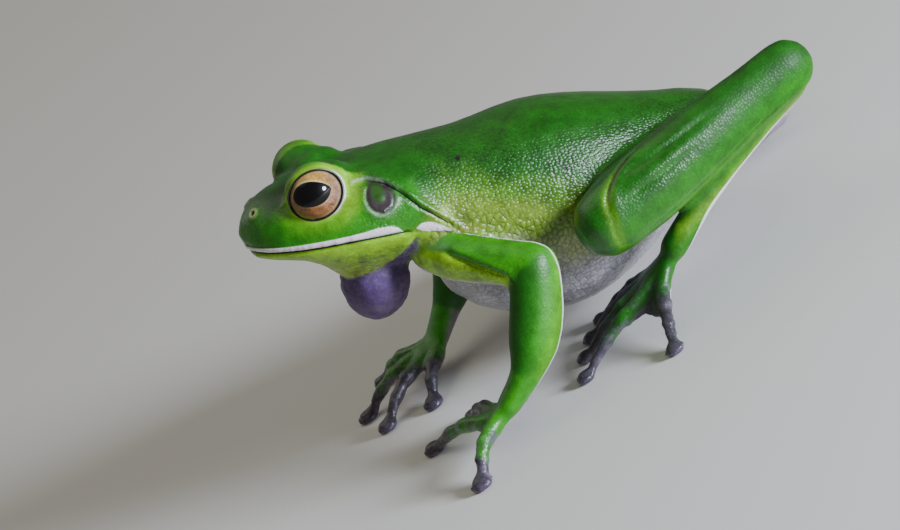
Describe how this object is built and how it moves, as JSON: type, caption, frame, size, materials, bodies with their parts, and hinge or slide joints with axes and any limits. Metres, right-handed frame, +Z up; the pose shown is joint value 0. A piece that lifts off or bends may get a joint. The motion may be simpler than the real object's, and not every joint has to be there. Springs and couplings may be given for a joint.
{
  "type": "tree frog figure",
  "caption": "Still, life-size tree frog sitting on its finger and toe discs with head raised, large round eyes and a part-filled vocal sac under the throat.",
  "frame": {"origin": "on the floor, below the centre of the whole animal's bounding box", "axes": "the snout points to -X, the left side to -Y, +Z is up; X is the longest extent and Z the shortest"},
  "size_m": [0.1064, 0.083, 0.0581],
  "materials": {
    "skin": "moist, finely granular",
    "digit_skin": "moist, smooth",
    "sac_skin": "satin, thin and finely wrinkled",
    "eardrum": "satin",
    "eye": "wet gloss"
  },
  "bodies": {
    "root": {"head": "skin", "torso": "skin", "vocal_sac": "sac_skin", "eye_left": "eye", "tympanum_left": "eardrum", "upper_arm_left": "skin", "forearm_left": "skin", "hand_left": "skin", "finger_1_left": "digit_skin", "finger_2_left": "digit_skin", "finger_3_left": "digit_skin", "finger_4_left": "digit_skin", "thigh_left": "skin", "shank_left": "skin", "tarsus_left": "skin", "foot_left": "skin", "toe_1_left": "digit_skin", "toe_2_left": "digit_skin", "toe_3_left": "digit_skin", "toe_4_left": "digit_skin", "toe_5_left": "digit_skin", "eye_right": "eye", "tympanum_right": "eardrum", "upper_arm_right": "skin", "forearm_right": "skin", "hand_right": "skin", "finger_1_right": "digit_skin", "finger_2_right": "digit_skin", "finger_3_right": "digit_skin", "finger_4_right": "digit_skin", "thigh_right": "skin", "shank_right": "skin", "tarsus_right": "skin", "foot_right": "skin", "toe_1_right": "digit_skin", "toe_2_right": "digit_skin", "toe_3_right": "digit_skin", "toe_4_right": "digit_skin", "toe_5_right": "digit_skin"}
  },
  "joints": []
}
